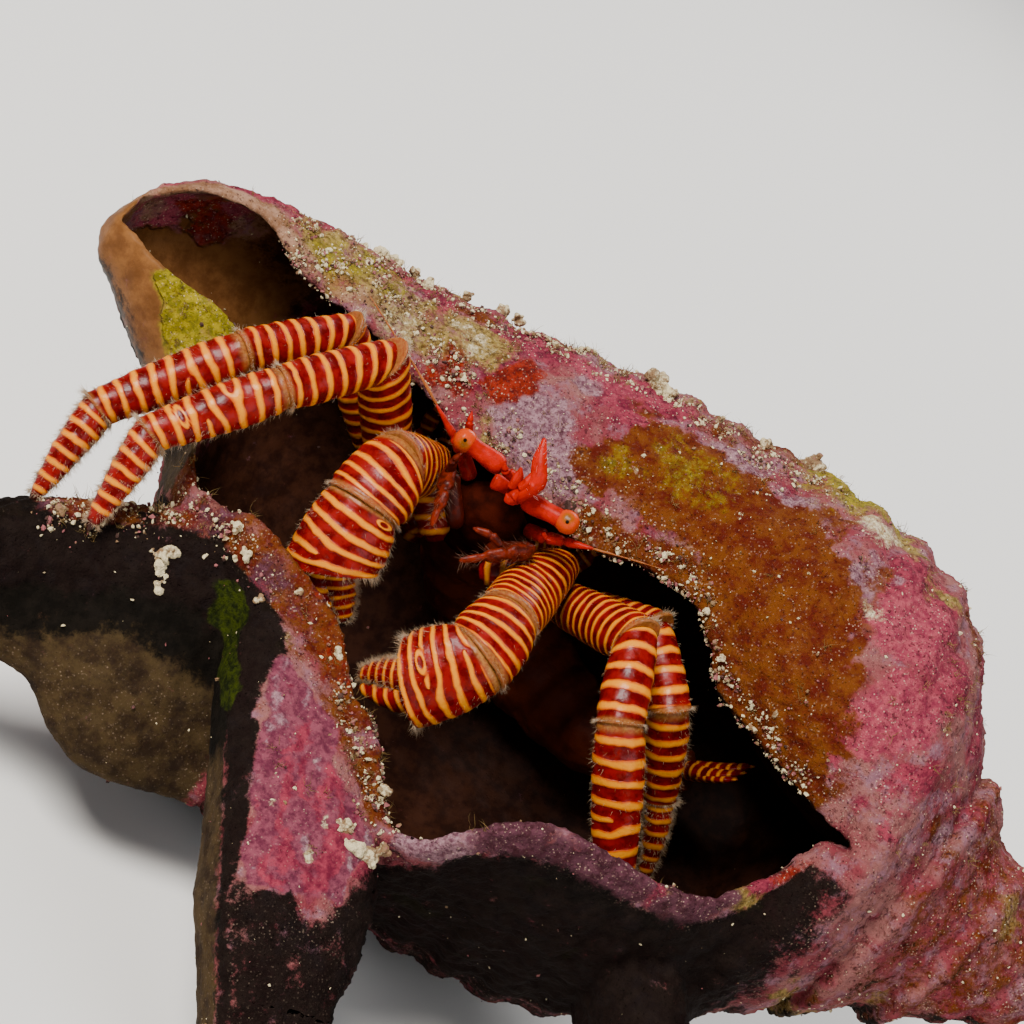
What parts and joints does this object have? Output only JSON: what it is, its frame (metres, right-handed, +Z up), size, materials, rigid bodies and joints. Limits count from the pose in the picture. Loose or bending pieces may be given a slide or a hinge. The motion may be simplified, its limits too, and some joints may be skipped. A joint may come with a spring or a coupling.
{
  "type": "hermit crab",
  "caption": "Still life-size model of a striped hermit crab leaning out of the mouth of a crusted spider conch shell, its eyes, claws and legs spread over the rim.",
  "frame": {"origin": "on the resting level, in the middle of the model's footprint box", "axes": "+X along the shell toward its spire, +Y toward its back, -Y the way the crab looks out, +Z up"},
  "size_m": [0.1594, 0.1019, 0.0764],
  "materials": {
    "shell_crust": "rough chalky crust",
    "banded_cuticle": "glossy banded shell plate",
    "orange_cuticle": "satin translucent cuticle",
    "soft_skin": "soft damp skin",
    "cornea": "polished"
  },
  "bodies": {
    "root": {"shell_canal": "shell_crust", "shell_roof": "shell_crust", "shell_bowl": "shell_crust", "shell_spire": "shell_crust", "shell_finger_left": "shell_crust", "shell_finger_front": "shell_crust", "shell_finger_right": "shell_crust", "shield": "banded_cuticle", "carapace": "soft_skin", "abdomen_1": "soft_skin", "abdomen_2": "soft_skin", "abdomen_3": "soft_skin", "tail_fan": "banded_cuticle", "eyestalk_right": "orange_cuticle", "eye_right": "cornea", "eyestalk_left": "orange_cuticle", "eye_left": "cornea", "ocular_segment": "orange_cuticle", "antennule_right": "orange_cuticle", "antennule_left": "orange_cuticle", "antenna_right_peduncle": "orange_cuticle", "antenna_right_flagellum": "orange_cuticle", "antenna_left_peduncle": "orange_cuticle", "antenna_left_flagellum": "orange_cuticle", "maxilliped_right": "banded_cuticle", "maxilliped_left": "banded_cuticle", "leg4_right": "banded_cuticle", "leg4_left": "banded_cuticle", "leg5_right": "banded_cuticle", "leg5_left": "banded_cuticle", "cheliped_right_ischium": "banded_cuticle", "cheliped_right_merus": "banded_cuticle", "cheliped_right_carpus": "banded_cuticle", "cheliped_right_propodus": "banded_cuticle", "cheliped_right_dactyl": "banded_cuticle", "cheliped_left_ischium": "banded_cuticle", "cheliped_left_merus": "banded_cuticle", "cheliped_left_carpus": "banded_cuticle", "cheliped_left_propodus": "banded_cuticle", "cheliped_left_dactyl": "banded_cuticle", "leg2_right_ischium": "banded_cuticle", "leg2_right_merus": "banded_cuticle", "leg2_right_carpus": "banded_cuticle", "leg2_right_propodus": "banded_cuticle", "leg2_right_dactyl": "banded_cuticle", "leg2_left_ischium": "banded_cuticle", "leg2_left_merus": "banded_cuticle", "leg2_left_carpus": "banded_cuticle", "leg2_left_propodus": "banded_cuticle", "leg2_left_dactyl": "banded_cuticle", "leg3_right_ischium": "banded_cuticle", "leg3_right_merus": "banded_cuticle", "leg3_right_carpus": "banded_cuticle", "leg3_right_propodus": "banded_cuticle", "leg3_right_dactyl": "banded_cuticle", "leg3_left_ischium": "banded_cuticle", "leg3_left_merus": "banded_cuticle", "leg3_left_carpus": "banded_cuticle", "leg3_left_propodus": "banded_cuticle", "leg3_left_dactyl": "banded_cuticle"}
  },
  "joints": []
}
